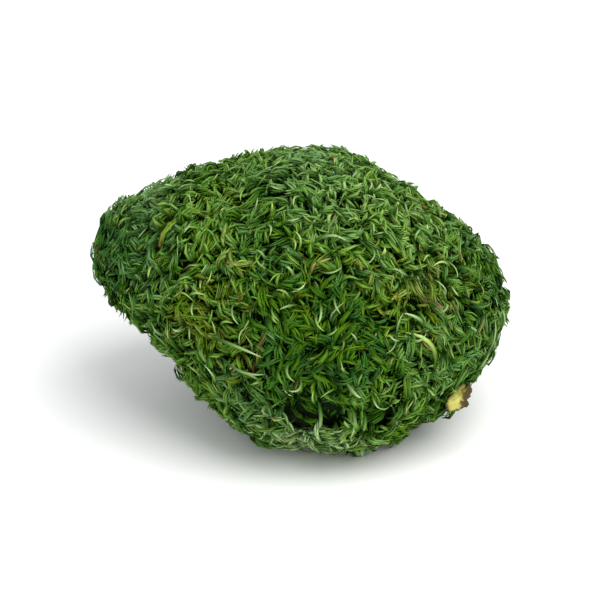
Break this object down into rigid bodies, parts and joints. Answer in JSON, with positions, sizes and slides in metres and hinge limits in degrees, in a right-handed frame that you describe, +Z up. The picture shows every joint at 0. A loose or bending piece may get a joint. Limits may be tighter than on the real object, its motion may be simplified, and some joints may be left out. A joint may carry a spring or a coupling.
{
  "type": "moss clump",
  "caption": "Rounded clump of preserved cushion moss with densely tufted leafy shoots and a flat cut base, to rest on a surface as decoration.",
  "frame": {"origin": "on the surface the clump rests on, under the middle of its bounding box", "axes": "+X along the clump's long side with the raised narrow shoulder at -X, -Y the front as the picture shows it, +Z up from the flat cut"},
  "size_m": [0.12, 0.1039, 0.0799],
  "materials": {
    "moss": "matte",
    "dry_leaf": "matte"
  },
  "bodies": {
    "root": {"moss_cushion": "moss", "dry_leaf_scrap": "dry_leaf"}
  },
  "joints": []
}
